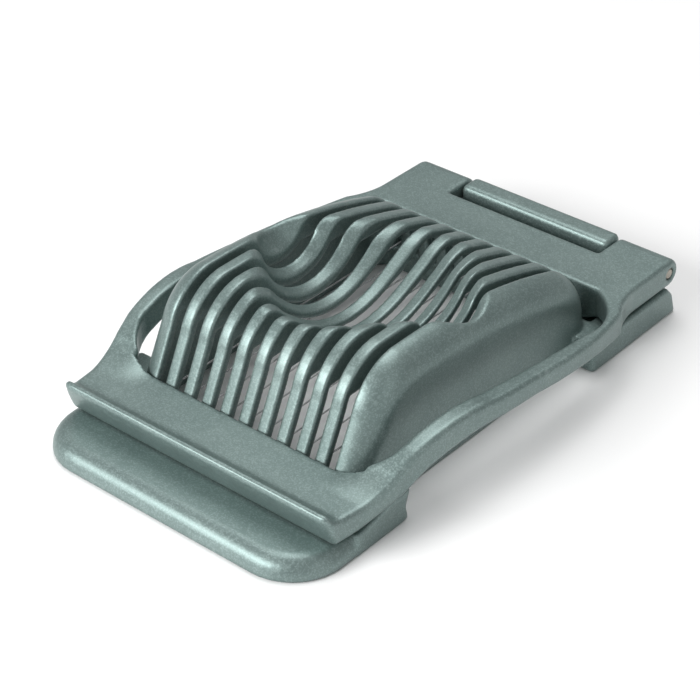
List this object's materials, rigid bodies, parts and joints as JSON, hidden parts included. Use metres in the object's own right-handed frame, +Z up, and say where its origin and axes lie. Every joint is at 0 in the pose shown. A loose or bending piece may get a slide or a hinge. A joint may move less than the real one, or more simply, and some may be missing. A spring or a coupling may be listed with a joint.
{
  "type": "egg slicer",
  "caption": "Cast egg slicer: a slotted, dished dome on a base, and a hinged frame strung with wires that swings down through the slots.",
  "frame": {"origin": "middle of the footprint, on the surface that the slicer stands on", "axes": "+Z up, +Y from the lifting lip towards the hinge, +X to the right seen from the lip"},
  "size_m": [0.087, 0.1356, 0.0313],
  "materials": {
    "base_coat": "grey lacquer with a green-blue cast and a fine metallic flake, satin, over cast metal",
    "frame_coat": "the same grey metallic lacquer as the base",
    "pin_metal": "dull grey-bronze steel with a turned end",
    "wire_steel": "bright drawn stainless wire",
    "ferrule_metal": "plain crimped steel sleeve"
  },
  "bodies": {
    "base": {"base_casting": "base_coat", "hinge_pin": "pin_metal"},
    "frame": {"cutting_frame": "frame_coat", "wire_01": "wire_steel", "wire_02": "wire_steel", "wire_03": "wire_steel", "wire_04": "wire_steel", "wire_05": "wire_steel", "wire_06": "wire_steel", "wire_07": "wire_steel", "wire_08": "wire_steel", "wire_09": "wire_steel", "wire_10": "wire_steel", "front_ferrule_01": "ferrule_metal", "front_ferrule_02": "ferrule_metal", "front_ferrule_03": "ferrule_metal", "front_ferrule_04": "ferrule_metal", "front_ferrule_05": "ferrule_metal", "front_ferrule_06": "ferrule_metal", "front_ferrule_07": "ferrule_metal", "front_ferrule_08": "ferrule_metal", "front_ferrule_09": "ferrule_metal", "front_ferrule_10": "ferrule_metal", "rear_ferrule_01": "ferrule_metal", "rear_ferrule_02": "ferrule_metal", "rear_ferrule_03": "ferrule_metal", "rear_ferrule_04": "ferrule_metal", "rear_ferrule_05": "ferrule_metal", "rear_ferrule_06": "ferrule_metal", "rear_ferrule_07": "ferrule_metal", "rear_ferrule_08": "ferrule_metal", "rear_ferrule_09": "ferrule_metal", "rear_ferrule_10": "ferrule_metal"}
  },
  "joints": [
    {"name": "frame_hinge", "type": "hinge", "parent": "base", "child": "frame", "pos_m": [0, 0.0643, 0.01142], "axis": [-1, 0, 0], "range_deg": [0, 110]}
  ]
}
